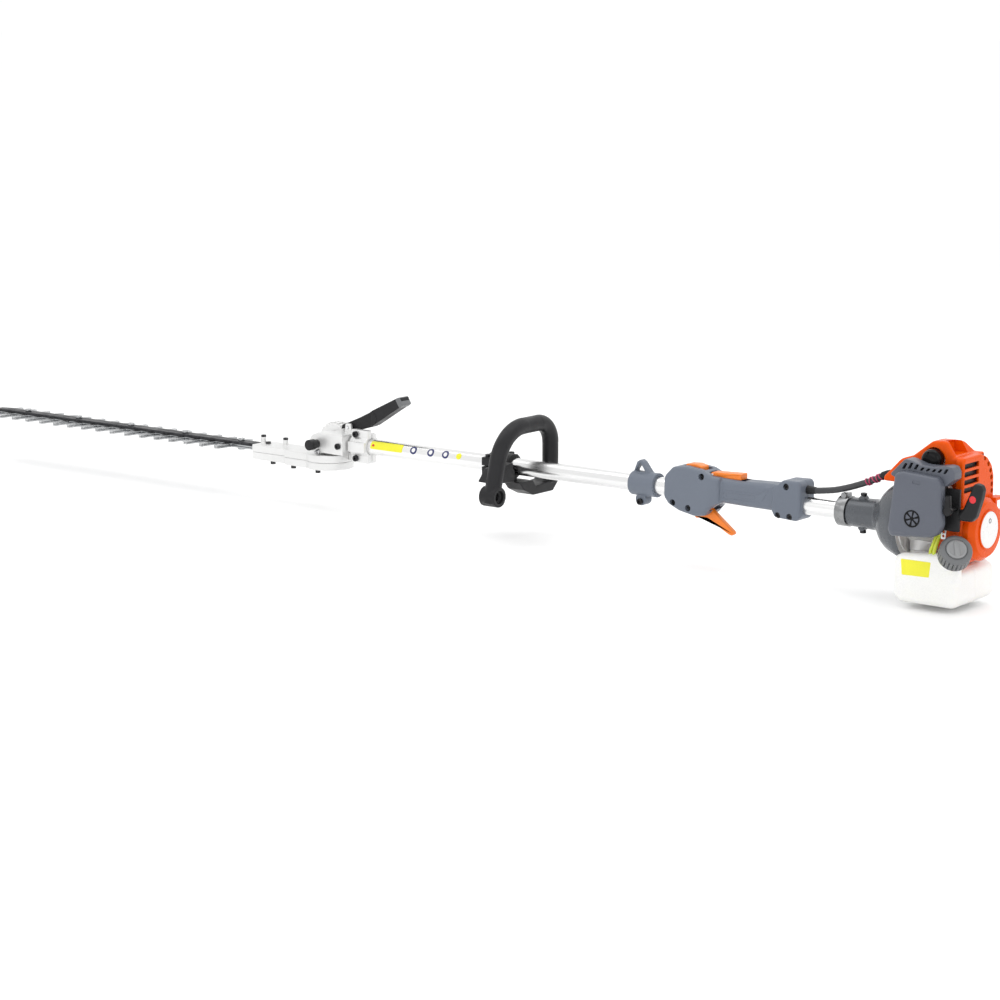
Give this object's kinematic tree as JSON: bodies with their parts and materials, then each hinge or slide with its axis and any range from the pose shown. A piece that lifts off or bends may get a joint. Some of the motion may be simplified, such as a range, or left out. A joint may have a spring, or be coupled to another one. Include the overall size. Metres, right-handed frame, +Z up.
{
  "type": "hedge trimmer",
  "caption": "Long-reach petrol hedge trimmer with a double-sided cutter on a tilting head, a pole with loop and throttle handles, and a small two-stroke engine.",
  "frame": {"origin": "middle of the underside of the foot under the fuel tank, where the tool stands on the ground", "axes": "+X along the pole from the cutter to the engine, +Z up, -Y towards the air filter side"},
  "size_m": [1.947, 0.1692, 0.2245],
  "materials": {
    "blade_steel": "ground bright",
    "bar_steel": "satin black",
    "cast_alloy": "cast, silver painted",
    "black_fastener": "black oxide",
    "gear_steel": "machined",
    "black_plastic": "fine grained",
    "bright_steel": "zinc plated",
    "tube_alloy": "drawn, polished",
    "bush_rubber": "matte",
    "grey_plastic": "satin blue grey",
    "orange_plastic": "glossy",
    "conduit_plastic": "satin",
    "grey_enamel": "glossy dark grey",
    "ceramic": "glazed",
    "boot_rubber": "semi gloss",
    "dark_metal": "heat blackened",
    "filter_foam": "open foam",
    "tank_plastic": "translucent white",
    "cap_plastic": "ribbed grey"
  },
  "bodies": {
    "pole": {"tilt_bolt": "black_fastener", "joint_housing": "cast_alloy", "tube_clamp_cap": "cast_alloy", "head_screws": "black_fastener", "lever_pin": "bright_steel", "shaft_tube": "tube_alloy", "shaft_bushes": "bush_rubber", "loop_handle": "black_plastic", "loop_clamp_cap": "black_plastic", "loop_screws": "black_fastener", "harness_ring": "grey_plastic", "harness_screw": "black_fastener", "housing_left": "grey_plastic", "housing_right": "grey_plastic", "housing_screws": "black_fastener", "control_pins": "bright_steel", "throttle_conduit": "conduit_plastic", "tube_clamp_ring": "bright_steel", "clutch_housing": "grey_enamel", "clutch_screws": "black_fastener", "crankcase": "cast_alloy", "cylinder_barrel": "cast_alloy", "spark_plug": "ceramic", "plug_boot": "boot_rubber", "muffler": "dark_metal", "carburettor": "cast_alloy", "air_filter": "filter_foam", "filter_base": "grey_plastic", "filter_cover": "grey_plastic", "engine_shroud": "orange_plastic", "starter_housing": "orange_plastic", "fuel_tank": "tank_plastic", "tank_foot": "boot_rubber"},
    "cutter_head": {"gear_case_lower": "cast_alloy", "gear_case_upper": "cast_alloy", "gear_case_screws": "black_fastener", "guide_bar": "bar_steel", "blade_bolts": "blade_steel"},
    "upper_blade": {"upper_blade": "blade_steel"},
    "lower_blade": {"lower_blade": "blade_steel"},
    "output_shaft": {"output_shaft": "gear_steel"},
    "crank": {"crank_gear": "gear_steel"},
    "idler": {"idler_gear": "gear_steel"},
    "drive": {"drive_shaft": "gear_steel", "input_pinion": "gear_steel", "clutch_drum": "gear_steel"},
    "lever": {"adjusting_lever": "black_plastic"},
    "trigger": {"throttle_trigger": "orange_plastic"},
    "lockout": {"trigger_lockout": "orange_plastic"},
    "switch": {"stop_switch": "orange_plastic"},
    "choke": {"choke_lever": "black_plastic"},
    "starter_grip": {"starter_handle": "black_plastic"},
    "pulley": {"starter_pulley": "black_plastic"},
    "rotor": {"crankshaft": "gear_steel", "flywheel": "cast_alloy", "clutch_shoes": "gear_steel"},
    "piston": {"piston": "cast_alloy", "connecting_rod": "gear_steel"},
    "tank_cap": {"fuel_cap": "cap_plastic"}
  },
  "joints": [
    {"name": "head_tilt", "type": "hinge", "parent": "pole", "child": "cutter_head", "pos_m": [-1.08, 0, 0.108], "axis": [0, 1, 0], "range_deg": [0, 90]},
    {"name": "upper_blade_slide", "type": "slide", "parent": "cutter_head", "child": "upper_blade", "axis": [1, 0, 0], "range_m": [-0.006, 0.006]},
    {"name": "lower_blade_slide", "type": "slide", "parent": "cutter_head", "child": "lower_blade", "axis": [1, 0, 0], "range_m": [-0.006, 0.006]},
    {"name": "drive_spin", "type": "hinge", "parent": "pole", "child": "drive", "pos_m": [-0.6, 0, 0.108], "axis": [1, 0, 0], "continuous": true},
    {"name": "idler_spin", "type": "hinge", "parent": "pole", "child": "idler", "pos_m": [-1.08, 0.007, 0.108], "axis": [0, 1, 0], "continuous": true},
    {"name": "output_spin", "type": "hinge", "parent": "cutter_head", "child": "output_shaft", "pos_m": [-1.08, 0, 0.088], "axis": [0, 0, 1], "continuous": true},
    {"name": "crank_spin", "type": "hinge", "parent": "cutter_head", "child": "crank", "pos_m": [-1.116, 0, 0.078], "axis": [0, 0, 1], "continuous": true},
    {"name": "lever_squeeze", "type": "hinge", "parent": "pole", "child": "lever", "pos_m": [-1.036, 0.005, 0.135], "axis": [0, 1, 0], "range_deg": [0, 8]},
    {"name": "trigger_pull", "type": "hinge", "parent": "pole", "child": "trigger", "pos_m": [-0.371, 0, 0.088], "axis": [0, 1, 0], "range_deg": [-22, 0]},
    {"name": "lockout_press", "type": "hinge", "parent": "pole", "child": "lockout", "pos_m": [-0.354, 0, 0.135], "axis": [0, 1, 0], "range_deg": [0, 5]},
    {"name": "stop_switch_slide", "type": "slide", "parent": "pole", "child": "switch", "axis": [1, 0, 0], "range_m": [-0.003, 0.003]},
    {"name": "choke_turn", "type": "hinge", "parent": "pole", "child": "choke", "pos_m": [0.051, -0.07, 0.142], "axis": [0, 1, 0], "range_deg": [0, 25]},
    {"name": "starter_pull", "type": "slide", "parent": "pole", "child": "starter_grip", "axis": [0, -1, 0], "range_m": [0, 0.08]},
    {"name": "pulley_spin", "type": "hinge", "parent": "pole", "child": "pulley", "pos_m": [0.06, 0, 0.108], "axis": [1, 0, 0], "range_deg": [0, 200]},
    {"name": "engine_spin", "type": "hinge", "parent": "pole", "child": "rotor", "pos_m": [0, 0, 0.108], "axis": [1, 0, 0], "continuous": true},
    {"name": "piston_slide", "type": "slide", "parent": "pole", "child": "piston", "axis": [0, 0, 1], "range_m": [-0.014, 0.014]},
    {"name": "fuel_cap_turn", "type": "hinge", "parent": "pole", "child": "tank_cap", "pos_m": [0.046, -0.051, 0.0735], "axis": [0.5065, -0.6037, 0.6157], "range_deg": [0, 180]}
  ],
  "couplings": [
    {"joint": "lower_blade_slide", "follows": "upper_blade_slide", "ratio": -1},
    {"joint": "idler_spin", "follows": "drive_spin", "ratio": -1},
    {"joint": "output_spin", "follows": "drive_spin", "ratio": -1},
    {"joint": "crank_spin", "follows": "drive_spin", "ratio": 0.38461},
    {"joint": "pulley_spin", "follows": "starter_pull", "rad_per_m": 42.553}
  ]
}
